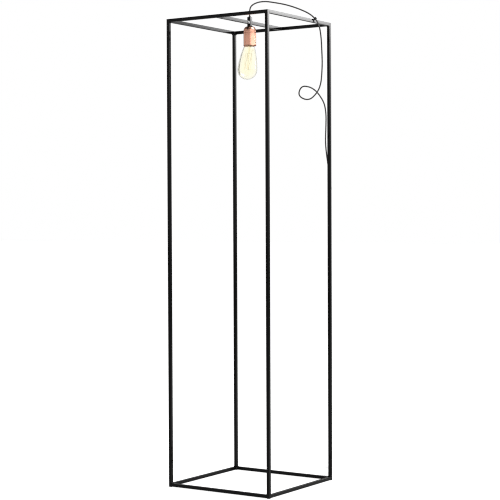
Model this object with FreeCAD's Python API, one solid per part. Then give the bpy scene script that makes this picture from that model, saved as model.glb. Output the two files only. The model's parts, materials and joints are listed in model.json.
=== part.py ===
"""Wire cage floor lamp: a tall open box of square steel bar with a copper lampholder and a clear
pear-shaped bulb hung from a bar across its top, and a cord laid over one rail and down one post.

Millimetres, +Z up. The origin is the middle of the lamp's foot, on the floor. -Y is the front,
+X is the right-hand side. One solid or one group of like solids goes to each file in parts/.
"""

import FreeCAD
import Part
import math
import os

from FreeCAD import Vector

os.makedirs("parts", exist_ok=True)

# ---------------------------------------------------------------- driving dimensions
HEIGHT = 1500.0           # floor to the top of the cage
SIDE = 384.0              # outside of the cage, both ways
BAR = 10.0                # square bar
BAR_EDGE = 0.5            # easing of the bar's long edges
PAD_HEIGHT = 1.5          # felt pad under each corner
PAD_SIDE = 9.0
WELD_LEG = 3.5            # leg of the fillet welds in the corners
BAR_WELD_LEG = 2.5        # leg of the welds on the crossbar

HANGER_SIDE = 12.0        # square block that carries the lampholder
HANGER_TOP = HEIGHT + 13.0
HANGER_BOTTOM = HEIGHT - 17.0
CORD = 4.5                # cord diameter
CORD_BORE = 6.0

HOLDER_RADIUS = 20.3
HOLDER_LENGTH = 63.0
HOLDER_WALL = 1.2
DOME_HEIGHT = 15.0        # rounded shoulder of the cap
DOME_FLAT = 7.0           # radius of the flat on top of the cap
COLLAR_HEIGHT = 6.0       # part of the cap inside the shell

BULB_RADIUS = 32.0
BULB_LENGTH = 140.0
BULB_BOTTOM = HEIGHT - 189.0
GLASS_WALL = 0.9
GLASS_TILT = 5.5          # degrees: the glass is set crooked in its metal cap
LAMP_CAP_RADIUS = 13.0    # metal screw cap of the bulb, over its thread
THREAD_CLEARANCE = 0.35

SWITCH_LENGTH = 62.0
SWITCH_WIDTH = 25.0
SWITCH_THICK = 11.5
SWITCH_HEIGHT = 700.0     # middle of the switch above the floor
ROCKER_TILT = 7.0         # degrees either side of level
RELIEF_LENGTH = 20.0

PLUG_TALL = 35.0
PLUG_THICK = 14.0
PLUG_LENGTH = 36.0
PIN_RADIUS = 2.0
PIN_LENGTH = 19.0
PIN_SPACING = 18.6

TUCK = 30.3               # degrees: the spare cord lies in line behind the back right post
GLASS_LEAN = 33.5         # degrees: the glass leans away from this direction
HALF = SIDE / 2
INNER = HALF - BAR        # inner faces of the posts and rails
MID = HALF - BAR / 2      # middle of the posts and rails
HOLDER_TOP = HANGER_BOTTOM
HOLDER_BOTTOM = HOLDER_TOP - HOLDER_LENGTH
CAP_TOP = BULB_BOTTOM + BULB_LENGTH


# ---------------------------------------------------------------- small tools
def save(name, solids):
    """Write one node: a solid, or several separate solids that share a name."""
    solids = solids if isinstance(solids, list) else [solids]
    shape = solids[0] if len(solids) == 1 else Part.makeCompound(solids)
    assert shape.isValid(), name
    shape.exportStep("parts/" + name + ".step")


def box(x0, x1, y0, y1, z0, z1):
    """Box between two corners."""
    return Part.makeBox(x1 - x0, y1 - y0, z1 - z0, Vector(x0, y0, z0))


def rod(start, end, radius, sides=16):
    """Round rod between two points, its round laid out as flat sides, or true with 0 sides."""
    start, end = Vector(*start), Vector(*end)
    if not sides:
        return Part.makeCylinder(radius, (end - start).Length, start, end - start)
    return Part.Face(ring(start, end - start, radius, sides)).extrude(end - start)


def ring(centre, axis, radius, sides):
    """Regular polygon round an axis, of the same area as the circle that it stands for."""
    axis = Vector(axis).normalize()
    across = axis.cross(Vector(math.cos(math.radians(TUCK)), math.sin(math.radians(TUCK)), 0)).normalize()
    up = axis.cross(across)
    step = 2 * math.pi / sides
    reach = radius * math.sqrt(step / math.sin(step))
    corners = [centre + across * reach * math.cos(step * (i + 0.5)) + up * reach * math.sin(step * (i + 0.5))
               for i in range(sides)]
    return Part.makePolygon(corners + corners[:1])


def outline(points, chords=4):
    """Corners of a closed outline in the XZ plane.

    A point is (a, b), or (a1, b1, a, b) for an arc through (a1, b1) to (a, b), which is laid out as
    a few equal chords so that the piece keeps few facets.
    """
    corners = [Vector(points[0][0], 0, points[0][1])]
    for point in points[1:]:
        end = Vector(point[-2], 0, point[-1])
        if len(point) == 4:
            arc = Part.Arc(corners[-1], Vector(point[0], 0, point[1]), end).toShape()
            corners += arc.discretize(Number=chords + 1)[1:-1]
        corners.append(end)
    return corners


def turned(points, chords=4, sides=32):
    """Solid turned about the Z axis from an outline of (radius, height) points, in flat facets."""
    corners = outline(points, chords)
    spokes = [(math.cos(2 * math.pi * i / sides), math.sin(2 * math.pi * i / sides)) for i in range(sides)]
    faces = []
    for low, high in zip(corners, corners[1:] + corners[:1]):
        for (c, s), (c2, s2) in zip(spokes, spokes[1:] + spokes[:1]):
            quad = [Vector(low.x * c, low.x * s, low.z), Vector(low.x * c2, low.x * s2, low.z),
                    Vector(high.x * c2, high.x * s2, high.z), Vector(high.x * c, high.x * s, high.z)]
            facet = [p for p, last in zip(quad, quad[-1:] + quad[:-1]) if (p - last).Length > 1e-6]
            if len(facet) > 2:
                faces.append(Part.Face(Part.makePolygon(facet + facet[:1])))
    solid = Part.Solid(sewn(faces))
    if solid.Volume < 0:
        solid.reverse()
    return solid


def sewn(faces):
    """One closed shell from faces that share their edges."""
    shape = Part.makeCompound(faces)
    shape.sewShape()
    return shape.Shells[0]


def prism(points, y0, y1):
    """Solid from an outline of (x, z) points, drawn out along Y."""
    corners = outline(points)
    face = Part.Face(Part.makePolygon(corners + corners[:1]))
    face.translate(Vector(0, y0, 0))
    return face.extrude(Vector(0, y1 - y0, 0))


def tucked(shape, across, along, height):
    """Place a shape drawn about its own origin: X goes across the line of the spare cord, Y along it."""
    shape = shape.copy()
    shape.rotate(Vector(0, 0, 0), Vector(0, 0, 1), TUCK)
    shape.translate(spot(across, along, height))
    return shape


def spot(across, along, height):
    """Point given across and along the line in which the spare cord lies."""
    turn = math.radians(TUCK)
    return Vector(across * math.cos(turn) - along * math.sin(turn),
                  across * math.sin(turn) + along * math.cos(turn), height)


# ---------------------------------------------------------------- cage
def bar(x0, x1, y0, y1, z0, z1):
    """Square bar with its long edges eased."""
    solid = box(x0, x1, y0, y1, z0, z1)
    sizes = [x1 - x0, y1 - y0, z1 - z0]
    length = max(sizes)
    edges = [e for e in solid.Edges if abs(e.Length - length) < 1e-6]
    return solid.makeChamfer(BAR_EDGE, edges)


def cage():
    """Four posts, four top rails, four bottom rails and four felt pads."""
    posts = {"post_front_left": (-1, -1), "post_front_right": (1, -1),
             "post_back_right": (1, 1), "post_back_left": (-1, 1)}
    pads = []
    for name, (sx, sy) in posts.items():
        x, y = sx * MID, sy * MID
        save(name, bar(x - BAR / 2, x + BAR / 2, y - BAR / 2, y + BAR / 2, PAD_HEIGHT, HEIGHT))
        pads.append(box(x - PAD_SIDE / 2, x + PAD_SIDE / 2, y - PAD_SIDE / 2, y + PAD_SIDE / 2,
                        0, PAD_HEIGHT))
    save("floor_pads", pads)
    for level, z in (("bottom", PAD_HEIGHT), ("top", HEIGHT - BAR)):
        for name, side in (("front", -1), ("back", 1)):
            y = side * MID
            save(level + "_rail_" + name, bar(-INNER, INNER, y - BAR / 2, y + BAR / 2, z, z + BAR))
        for name, side in (("left", -1), ("right", 1)):
            x = side * MID
            save(level + "_rail_" + name, bar(x - BAR / 2, x + BAR / 2, -INNER, INNER, z, z + BAR))


def weld(corner, leg_a, leg_b, along):
    """Weld in the corner between two faces, its face a little hollow, drawn out along the corner."""
    corner, leg_a, leg_b, along = Vector(*corner), Vector(*leg_a), Vector(*leg_b), Vector(*along)
    end_a, end_b = corner + leg_a, corner + leg_b
    middle = corner + (leg_a + leg_b) * 0.36
    return Part.Face(Part.makePolygon([corner, end_a, middle, end_b, corner])).extrude(along)


def corner_welds():
    """Three welds in each of the cage's eight corners: two under or over the rails, one between them."""
    welds = []
    trim = BAR_EDGE
    long = BAR - 2 * trim
    for sx in (-1, 1):
        for sy in (-1, 1):
            x, y = sx * INNER, sy * INNER
            for z, up in ((PAD_HEIGHT + BAR, 1), (HEIGHT - BAR, -1)):
                inward_x, inward_y = (-sx * WELD_LEG, 0, 0), (0, -sy * WELD_LEG, 0)
                upright = (0, 0, up * WELD_LEG)
                welds.append(weld((x, y + sy * trim, z), inward_x, upright, (0, sy * long, 0)))
                welds.append(weld((x + sx * trim, y, z), inward_y, upright, (sx * long, 0, 0)))
                low = z - BAR + trim if up > 0 else z + trim
                welds.append(weld((x, y, low), inward_x, inward_y, (0, 0, long)))
    save("corner_welds", welds)


# ---------------------------------------------------------------- crossbar and hanger
def crossbar():
    """Two half bars that meet the hanger block, and the welds at both ends of each."""
    reach = HANGER_SIDE / 2
    halves = {"crossbar_front": (-INNER, -reach), "crossbar_back": (reach, INNER)}
    for name, (y0, y1) in halves.items():
        save(name, bar(-BAR / 2, BAR / 2, y0, y1, HEIGHT - BAR, HEIGHT))
    welds = []
    long = BAR - 2 * BAR_EDGE
    leg = BAR_WELD_LEG
    for sy in (-1, 1):
        for sx in (-1, 1):
            welds.append(weld((sx * BAR / 2, sy * INNER, HEIGHT - BAR + BAR_EDGE),
                              (sx * leg, 0, 0), (0, -sy * leg, 0), (0, 0, long)))
        for z, up in ((HEIGHT, 1), (HEIGHT - BAR, -1)):
            welds.append(weld((-long / 2, sy * reach, z), (0, sy * leg, 0), (0, 0, up * leg),
                              (long, 0, 0)))
    save("crossbar_welds", welds)


BAR_SCREW_PLACE = -15.0   # along Y, on the right-hand face of the front half bar


def hanger():
    """Square block with the cord's bore, its bush, the bright screw beside it and the lampholder's nipple."""
    half = HANGER_SIDE / 2
    nipple_radius, nipple_bore, tapped = 5.0, 3.5, 7.0
    block = box(-half, half, -half, half, HANGER_BOTTOM, HANGER_TOP)
    upright = [e for e in block.Edges if abs(e.Length - (HANGER_TOP - HANGER_BOTTOM)) < 1e-6]
    block = block.makeChamfer(0.5, upright)
    block = block.cut(rod((0, 0, HANGER_BOTTOM), (0, 0, HANGER_TOP), CORD_BORE / 2))
    block = block.cut(rod((0, 0, HANGER_BOTTOM), (0, 0, HANGER_BOTTOM + tapped), nipple_radius + 0.05))
    save("hanger_block", block)

    bush_height = 2.0
    rim, neck, hole = 4.4, CORD_BORE / 2 - 0.05, CORD / 2 + 0.1
    save("cord_bush", turned([(hole, HANGER_TOP - 6), (neck, HANGER_TOP - 6), (neck, HANGER_TOP),
                              (rim, HANGER_TOP), (rim, HANGER_TOP + 1),
                              (rim - 1, HANGER_TOP + bush_height), (hole, HANGER_TOP + bush_height)],
                             1, 16))
    save("holder_nipple", turned([(nipple_bore, HOLDER_TOP - 8), (nipple_radius, HOLDER_TOP - 8),
                                  (nipple_radius, HOLDER_TOP + tapped),
                                  (nipple_bore, HOLDER_TOP + tapped)], 1, 16))
    nut = hexagon(14.0, HOLDER_TOP - HOLDER_WALL - 3.0, HOLDER_TOP - HOLDER_WALL)
    save("lock_nut", nut.cut(rod((0, 0, HOLDER_TOP - 10), (0, 0, HOLDER_TOP), nipple_radius + 0.05)))

    head_radius, head_height = 3.6, 2.2
    z = HEIGHT - BAR / 2
    face = BAR / 2
    head = turned([(0, 0), (head_radius, 0), (head_radius, 0.6), (head_radius * 0.85, head_height * 0.8),
                   (head_radius * 0.5, head_height), (0, head_height)], 1, 20)
    head.rotate(Vector(0, 0, 0), Vector(0, 1, 0), 90)
    slot = box(head_height - 0.9, head_height + 1, -0.5, 0.5, -head_radius, head_radius)
    head = head.cut(slot)
    head.translate(Vector(face, BAR_SCREW_PLACE, z))
    save("bar_screw", head)


def hexagon(across_flats, z0, z1):
    """Hexagonal prism about the lamp's axis."""
    radius = across_flats / math.sqrt(3)
    corners = [Vector(radius * math.cos(math.radians(60 * i)), radius * math.sin(math.radians(60 * i)), z0)
               for i in range(6)]
    return Part.Face(Part.makePolygon(corners + corners[:1])).extrude(Vector(0, 0, z1 - z0))


# ---------------------------------------------------------------- lampholder
def lampholder():
    """Copper cap and shell, moulded insert, threaded sleeve, contact, terminals and wires."""
    r, wall, top = HOLDER_RADIUS, HOLDER_WALL, HOLDER_TOP
    shoulder = top - DOME_HEIGHT
    seam = shoulder - 6.0
    collar = seam - COLLAR_HEIGHT
    bend = math.sin(math.radians(45))
    sweep = r - DOME_FLAT
    nipple_hole = 5.1
    save("holder_cap", turned([
        (nipple_hole, top), (DOME_FLAT, top),
        (DOME_FLAT + sweep * bend, shoulder + DOME_HEIGHT * bend, r, shoulder),
        (r, seam), (r - wall, seam), (r - wall, collar), (r - 2 * wall, collar), (r - 2 * wall, shoulder),
        (r - 2 * wall - 4.5, top - 4.8), (DOME_FLAT + 1.8, top - wall), (nipple_hole, top - wall)], 3))

    bead = 0.5
    save("holder_shell", turned([
        (r - wall + 0.1, seam - 0.15), (r, seam - 0.15), (r, HOLDER_BOTTOM + 4 * bead),
        (r + bead, HOLDER_BOTTOM + 3 * bead), (r + bead, HOLDER_BOTTOM),
        (r - wall + 0.1, HOLDER_BOTTOM)]))

    sleeve_in = LAMP_CAP_RADIUS + THREAD_CLEARANCE
    sleeve_out = sleeve_in + 0.5
    body = r - wall - 0.2
    floor = CAP_TOP + 5.0
    mouth = HOLDER_BOTTOM + 9.0
    inset = r - 2 * wall - 0.2
    deck = floor + 11.5
    save("socket_insert", turned([
        (0, floor), (sleeve_out + 0.1, floor), (sleeve_out + 0.1, mouth), (body, mouth),
        (body, collar - 0.3), (inset, collar - 0.3), (inset, deck), (0, deck)], 1, 28))
    save("screw_sleeve", turned([
        (sleeve_in, floor - 0.5), (sleeve_in, mouth - 1), (sleeve_out + 0.7, mouth - 1),
        (sleeve_out + 0.7, mouth), (sleeve_out, mouth), (sleeve_out, floor),
        (sleeve_in - 4, floor), (sleeve_in - 4, floor - 0.5)], 1, 28))
    tongue = prism([(-7, floor), (7, floor), (7, floor - 0.5), (2.5, CAP_TOP + 0.4),
                    (0, CAP_TOP + 0.25, -2.5, CAP_TOP + 0.4), (-7, floor - 0.9)], -2.5, 2.5)
    save("centre_contact", tongue)

    blocks, screws, wires = [], [], []
    for side in (-1, 1):
        x = side * 9.0
        blocks.append(box(x - 3.5, x + 3.5, -3, 3, deck, deck + 4.5))
        screws.append(rod((x, 0, deck + 4.5), (x, 0, deck + 6.0), 2.6, 12))
        start = (side * 1.3, 0, HOLDER_TOP - 8)
        wires.append(rod(start, (side * 4.2, 0, deck + 3.0), 0.9, 8))
    save("terminal_blocks", blocks)
    save("terminal_screws", screws)
    save("holder_wires", wires)


# ---------------------------------------------------------------- bulb
def tilt_glass(shape):
    """The glass leans in its cap, its lower end away from the back right post."""
    turn = math.radians(GLASS_LEAN)
    pivot = Vector(0, 0, CAP_TOP - 21.0)
    shape = shape.copy()
    shape.rotate(pivot, Vector(-math.sin(turn), math.cos(turn), 0), GLASS_TILT)
    return shape


def bulb():
    """Metal screw cap, insulator and tip, and the leaning glass with its stem, hooks and filament."""
    rim = CAP_TOP - 22.5
    r = LAMP_CAP_RADIUS
    skin = 0.4
    save("bulb_cap", turned([
        (6.5, CAP_TOP - 2.0), (7.5, CAP_TOP - 2.0), (r, CAP_TOP - 6.0), (r, rim),
        (r - skin, rim), (r - skin, CAP_TOP - 6.0 - skin), (6.5, CAP_TOP - 2.5)], 1, 28))
    save("bulb_insulator", rod((0, 0, CAP_TOP - 4.0), (0, 0, CAP_TOP - 1.0), 6.4, 20))
    save("bulb_tip", turned([(0, CAP_TOP - 1.0), (4.2, CAP_TOP - 1.0), (2.8, CAP_TOP - 0.2),
                             (0, CAP_TOP)], 1, 20))

    neck_top, neck = CAP_TOP - 15.5, 11.6
    ball = BULB_BOTTOM + BULB_RADIUS
    bend = math.sin(math.radians(45))

    def side(offset):
        """Outline of the glass from its neck to its lowest point, drawn in by an offset."""
        big = BULB_RADIUS - offset
        return [(neck - offset, neck_top), (neck - offset, rim - 1.5),
                (14.4 - offset, rim - 7.3, 18.6 - offset, rim - 14.5),
                (26.8 - offset, rim - 46.5, big * 0.988, ball + big * 0.155),
                (big * bend, ball - big * bend, 0, ball - big)]

    outer, inner = side(0), side(GLASS_WALL)
    # the way back up the inside: each arc is run through in the other sense
    back = [inner[-1][-2:]]
    for here, before in zip(reversed(inner), reversed(inner[:-1])):
        back.append((here[:2] + before[-2:]) if len(here) == 4 else before[-2:])
    save("bulb_glass", tilt_glass(turned(outer + back, 3, 28)))

    press = rim - 36.0
    foot = BULB_BOTTOM + 36.0
    flare = neck - GLASS_WALL - 0.1
    save("bulb_stem", tilt_glass(turned([
        (0, neck_top), (flare, neck_top), (5.2, neck_top - 5.5, 3.4, rim - 8.0), (3.0, press + 6),
        (1.3, press), (1.3, foot + 2), (2.1, foot), (1.3, foot - 2), (0, foot - 2)], 2, 16)))

    loops, low, high = 5, foot - 4.0, press + 3.0
    hook_radius, wire = 10.0, 0.3
    hooks = []
    route = []
    for i in range(loops):
        up = math.radians(360.0 / loops * i)
        down = up + math.radians(180.0 / loops)
        out = Vector(math.cos(up), math.sin(up), 0)
        hooks.append(rod(out * 2.6 + Vector(0, 0, press + 2), out * 9.2 + Vector(0, 0, high),
                                 wire, 4))
        out = Vector(math.cos(down), math.sin(down), 0)
        hooks.append(rod(out * 2.3 + Vector(0, 0, foot), out * 9.2 + Vector(0, 0, low), wire, 4))
        for angle, z in ((up, high), (down, low)):
            for lean in (-0.12, 0.12):
                turn = angle + lean
                route.append((hook_radius * math.cos(turn), hook_radius * math.sin(turn), z))
    save("bulb_hooks", [tilt_glass(hook) for hook in hooks])
    save("bulb_filament", tilt_glass(mitred(route, 0.2)))


def mitred(points, radius):
    """Square wire through points, mitred where it turns."""
    path = Part.makePolygon([Vector(*p) for p in points])
    start, first = Vector(*points[0]), Vector(*points[1]) - Vector(*points[0])
    solid = path.makePipeShell([ring(start, first, radius, 4)], True, False, 1)
    if solid.Volume < 0:
        solid.reverse()
    print("filament volume / expected %.3f" % (solid.Volume / (math.pi * radius ** 2 * path.Length)))
    return solid


# ---------------------------------------------------------------- cord
def bent_path(points):
    """Straight runs joined by tangent arcs, each arc as large as 0.45 of its shorter run allows."""
    points = [Vector(*p) for p in points]
    edges, radii = [], []
    last = points[0]
    for before, corner, after in zip(points, points[1:], points[2:]):
        run_in, run_out = corner - before, after - corner
        turn = run_in.getAngle(run_out)
        reach = 0.45 * min(run_in.Length, run_out.Length)
        start = corner - Vector(run_in).normalize() * reach
        end = corner + Vector(run_out).normalize() * reach
        radius = reach / math.tan(turn / 2)
        inward = (Vector(run_out).normalize() - Vector(run_in).normalize()).normalize()
        middle = corner + inward * (math.hypot(radius, reach) - radius)
        edges.append(Part.LineSegment(last, start).toShape())
        edges.append(Part.Arc(start, middle, end).toShape())
        radii.append(radius)
        last = end
    edges.append(Part.LineSegment(last, points[-1]).toShape())
    return Part.Wire(edges), radii


def tube(points, diameter, report=None, sides=6):
    """Faceted tube along a bent path; a report name prints its radii and compares its volume."""
    path, radii = bent_path(points)
    start, first = Vector(*points[0]), Vector(*points[1]) - Vector(*points[0])
    solid = path.makePipeShell([ring(start, first, diameter / 2, sides)], True, False)
    if solid.Volume < 0:
        solid.reverse()
    if report:
        expected = math.pi * diameter ** 2 / 4 * path.Length
        print(report, "length %.1f" % path.Length, "radii", " ".join("%.0f" % r for r in radii),
              "volume / expected %.4f" % (solid.Volume / expected), "valid", solid.isValid())
    return solid


# Way of the cord from the bush to the switch: up, over the right-hand top rail, one loop, in past
# the back right post and down behind it.
UPPER = [(0, 0, 1515), (-1, 0, 1529), (3, 1, 1549), (24, 9, 1560), (49, 19, 1562), (76, 30, 1557),
         (112, 42, 1549), (149, 59, 1535), (190, 67, 1515), (204, 101, 1490), (203, 117, 1446),
         (202, 125, 1404), (202, 128, 1365), (202, 125, 1331), (201, 118, 1296), (190, 107, 1267),
         (169, 88, 1240), (142, 64, 1255), (152, 68, 1288), (176, 82, 1285), (192, 95, 1272),
         (202, 107, 1253), (206, 122, 1234), (203, 136, 1214), (198, 148, 1193), (191, 159, 1167),
         (184, 169, 1141), (177, 179, 1113), (173, 190, 1082), (174, 198, 1046), (180, 199, 1004),
         (184, 196, 960), (184, 197, 905), (179, 201, 850), (174, 205, 798)]
# From the switch down behind the post to the floor.
LOWER = [(174, 205, 602), (179, 202, 545), (184, 197, 490), (184, 197, 432), (183, 198, 374),
         (184, 197, 316), (183, 197, 258), (184, 198, 200), (184, 196, 150), (184, 196, 106)]
SWITCH_ACROSS, SWITCH_ALONG = 254.7, 90.0
HANK_ACROSS, HANK_ALONG = 255.8, 155.0
LAYER = 2.6               # half the distance between the hank's two layers
FLOOR_LIFT = CORD / 2 + 0.3
HANK_RUN = 85.0
HANK_TURNS = 3
HANK_FOLD = 22.5          # outer fold's radius
HANK_STEP = 5.2           # the spiral draws in this much in each turn
HANK_WAIST = 9.0          # how far the runs are drawn in at their middle
NEAR_WAIST = 0.17         # a run's points lie at its ends and this part of it from its middle
HANK_MIDDLE = FLOOR_LIFT + HANK_FOLD + 0.5


def hank_points():
    """Centre line of the folded cord.

    A long loop in an upright plane, gone round three times. Its fold radius shrinks by one step a
    turn until halfway and then grows again, while the cord crosses to the second layer along the
    top run. Between the folds the runs are drawn in by waist * cos(pi * u / run) ** 2.
    """
    half = HANK_RUN / 2
    points = []
    runs = (-0.5, -NEAR_WAIST, NEAR_WAIST, 0.5)
    folds = (-54, -18, 18, 54)
    samples = [("run", -1, f) for f in runs] + [("fold", 1, a) for a in folds]
    samples += [("run", 1, f) for f in runs] + [("fold", -1, a) for a in folds]
    count = len(samples)
    middle_turn = HANK_TURNS / 2
    for i in range(HANK_TURNS * count + len(runs)):
        kind, side, value = samples[i % count]
        turn = (i - 1.5) / count
        depth = HANK_STEP * min(turn, HANK_TURNS - turn)
        fold = HANK_FOLD - depth
        cross = max(-1.0, min(1.0, (turn - middle_turn) * count / 1.5))
        layer = LAYER * cross
        if kind == "run":
            along = -side * value * HANK_RUN
            drawn = HANK_WAIST * math.cos(math.pi * value) ** 2
            points.append((layer, along, side * (fold - drawn)))
        else:
            angle = math.radians(value) * side
            points.append((layer, side * (half + fold * math.cos(angle)),
                           fold * math.sin(angle)))
    return [tuple(spot(HANK_ACROSS + v, HANK_ALONG + u, HANK_MIDDLE + w)) for v, u, w in points]


def least_gap(points, diameter):
    """Least gap between stretches of the cord that aren't neighbours, measured on points along it."""
    path, _ = bent_path(points)
    marks = path.discretize(Number=900)
    step = path.Length / (len(marks) - 1)
    apart = int(4 * diameter / step)
    least = 1e9
    for i in range(len(marks)):
        for j in range(i + apart, len(marks)):
            least = min(least, (marks[i] - marks[j]).Length)
    return least - diameter


def cord():
    """The free stretches and the hank with its tie; returns where the plug's relief begins."""
    switch = spot(SWITCH_ACROSS, SWITCH_ALONG, 0)
    reach = SWITCH_LENGTH / 2 + RELIEF_LENGTH
    top_end = (switch.x, switch.y, SWITCH_HEIGHT + reach)
    low_end = (switch.x, switch.y, SWITCH_HEIGHT - reach)
    save("cord_upper", tube(UPPER + [top_end], CORD, "cord_upper"))

    hank = hank_points()
    lead = [spot(257.0, 77, 64), spot(256.2, 78.3, 40), spot(254.7, 84.5, 19), spot(253.4, 95, 6.8)]
    entry = lead[-1] + (Vector(*hank[0]) - lead[-1]) * 0.57
    save("cord_lower", tube([low_end] + LOWER + lead + [entry], CORD, "cord_lower"))
    print("cord_hank least gap %.2f" % least_gap(hank, CORD))

    out = HANK_ALONG + HANK_RUN / 2
    side = HANK_ACROSS + LAYER
    plug_start = out + 74.0
    tail = [spot(side + 0.6, out + 22, FLOOR_LIFT), spot(side - 0.6, out + 40, 7),
            spot(HANK_ACROSS, out + 57, PLUG_TALL / 2 - 1), spot(HANK_ACROSS, plug_start, PLUG_TALL / 2)]
    leave = (Vector(*hank[-1]) + tail[0]) * 0.5
    hank = [entry] + hank + [leave]
    save("cord_hank", tube(hank, CORD, "cord_hank"))
    save("cord_tail", tube([leave] + tail, CORD, "cord_tail"))

    inner_half, band, width = LAYER + CORD / 2 + 0.35, 1.2, 12.0
    waist = HANK_FOLD - HANK_WAIST * math.cos(math.pi * NEAR_WAIST) ** 2
    low = HANK_MIDDLE - waist - CORD / 2 - 0.4
    high = HANK_MIDDLE + waist - HANK_STEP / 2 + CORD / 2 + 0.4
    tie = box(-inner_half - band, inner_half + band, -width / 2, width / 2, low - band, high + band)
    tie = tie.makeChamfer(1.0, [e for e in tie.Edges if abs(e.Length - width) < 1e-6])
    tie = tie.cut(box(-inner_half, inner_half, -width, width, low, high))
    save("hank_tie", tucked(tie, HANK_ACROSS, HANK_ALONG, 0))
    return plug_start


def on_route(points, height):
    """Point at a height on the bent path through the points."""
    path, _ = bent_path(points)
    return min(path.discretize(Distance=1.0), key=lambda p: abs(p.z - height))


def clips():
    """A clip on the right-hand top rail and two on the back right post."""
    eye_in, eye_out, sheet = CORD / 2 + 0.45, CORD / 2 + 1.6, 1.0
    a, b = Vector(*UPPER[8]), Vector(*UPPER[9])
    middle, line = (a + b) * 0.5, (b - a).normalize()
    y0, y1 = middle.y - 6.5, middle.y + 0.5
    base = box(INNER, HALF + sheet, y0, y1, HEIGHT, HEIGHT + sheet)
    base = base.fuse(box(HALF, HALF + sheet, y0, y1, HEIGHT - BAR, HEIGHT + sheet))
    base = base.fuse(box(HALF, middle.x, middle.y - 3, y1, HEIGHT - 2, HEIGHT + 3))
    eye = rod(middle - line * 3, middle + line * 3, eye_out)
    hole = rod(middle - line * 20, middle + line * 20, eye_in)
    save("rail_clip", base.fuse(eye).cut(hole).removeSplitter())

    held = []
    for x, y, z in (on_route(UPPER, 960), on_route(LOWER + [spot(257.0, 77, 64)], 106)):
        base = box(x - 3.5, HALF - 0.5, HALF, HALF + sheet, z - 4, z + 4)
        eye = rod((x, y, z - 4), (x, y, z + 4), eye_out)
        hole = rod((x, y, z - 20), (x, y, z + 20), eye_in)
        held.append(base.fuse(eye).cut(hole).removeSplitter())
    save("post_clips", held)


# ---------------------------------------------------------------- switch and plug
def relief(length, thick, thin):
    """Grooved cone that keeps the cord from kinking, from its thick end at 0 up +Z."""
    grooves = 2
    pitch = length / (grooves + 0.5)
    points = [(0, 0), (thick, 0)]
    for i in range(grooves):
        z = pitch * (i + 0.8)
        radius = thick + (thin - thick) * z / length
        points += [(radius, z), (radius - 0.6, z + 0.6), (radius - 0.6, z + 1.8), (radius - 0.2, z + 2.4)]
    points += [(thin, length), (0, length)]
    return turned(points, 1, 14)


def switch():
    """Slim in-line switch hung on the cord behind the post: two shells, rocker, screws and reliefs."""
    half, wide, thick = SWITCH_LENGTH / 2, SWITCH_WIDTH / 2, SWITCH_THICK / 2
    end = 6.0
    bow, rise = wide * 0.88, half * 0.6
    corners = outline([(-end, -half), (end, -half), (bow, -rise, wide, 0), (bow, rise, end, half),
                       (-end, half), (-bow, rise, -wide, 0), (-bow, -rise, -end, -half)])[:-1]
    corners = [Vector(0, p.x, p.z) for p in corners]
    profile = Part.makePolygon(corners + corners[:1])
    shells = {}
    for name, way in (("switch_front", 1), ("switch_back", -1)):
        shell = Part.Face(profile).extrude(Vector(way * thick, 0, 0))
        outer = [e for e in shell.Edges if abs(e.CenterOfMass.x - way * thick) < 1e-4]
        shells[name] = shell.makeChamfer(1.4, outer)
    slot_wide, slot_long = 5.0, 10.0
    front = shells["switch_front"].cut(box(-1, thick + 1, -slot_wide, slot_wide, -slot_long, slot_long))
    pivot_x, pin, bearing = 2.6, 1.0, 1.08
    front = front.cut(rod((pivot_x, -slot_wide - 1.6, 0), (pivot_x, slot_wide + 1.6, 0), bearing, 0))
    back = shells["switch_back"].cut(box(-3.2, 1, -slot_wide, slot_wide, -slot_long, slot_long))
    screw_holes = [(0, s * 8.2, s * 16.0) for s in (-1, 1)]
    screws = []
    for x, y, z in screw_holes:
        back = back.cut(rod((-thick - 1, y, z), (-thick + 1.4, y, z), 2.3))
        screws.append(tucked(rod((-thick + 0.3, y, z), (-thick + 1.4, y, z), 2.1)
                             .cut(box(-thick, -thick + 0.8, y - 0.35, y + 0.35, z - 3, z + 3)),
                             SWITCH_ACROSS, SWITCH_ALONG, SWITCH_HEIGHT))
    place = (SWITCH_ACROSS, SWITCH_ALONG, SWITCH_HEIGHT)
    save("switch_front", tucked(front, *place))
    save("switch_back", tucked(back, *place))
    save("switch_screws", screws)

    long, deep = 9.3, -1.6
    rocker = prism([(thick + 0.9, -long), (thick - 0.1, 0, thick + 0.9, long), (pivot_x + 0.6, long),
                    (deep, 4.0), (deep, -4.0), (pivot_x + 0.6, -long)], -slot_wide + 0.35, slot_wide - 0.35)
    rocker = rocker.fuse(rod((pivot_x, -slot_wide - 1.3, 0), (pivot_x, slot_wide + 1.3, 0), pin, 0))
    rocker.rotate(Vector(pivot_x, 0, 0), Vector(0, 1, 0), -ROCKER_TILT)
    save("switch_rocker", tucked(rocker.removeSplitter(), *place))

    cones = []
    for way in (-1, 1):
        cone = relief(RELIEF_LENGTH, 4.4, 2.9)
        if way < 0:
            cone.rotate(Vector(0, 0, 0), Vector(1, 0, 0), 180)
        cone.translate(Vector(0, 0, way * half))
        cones.append(tucked(cone, *place))
    save("switch_reliefs", cones)


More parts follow.
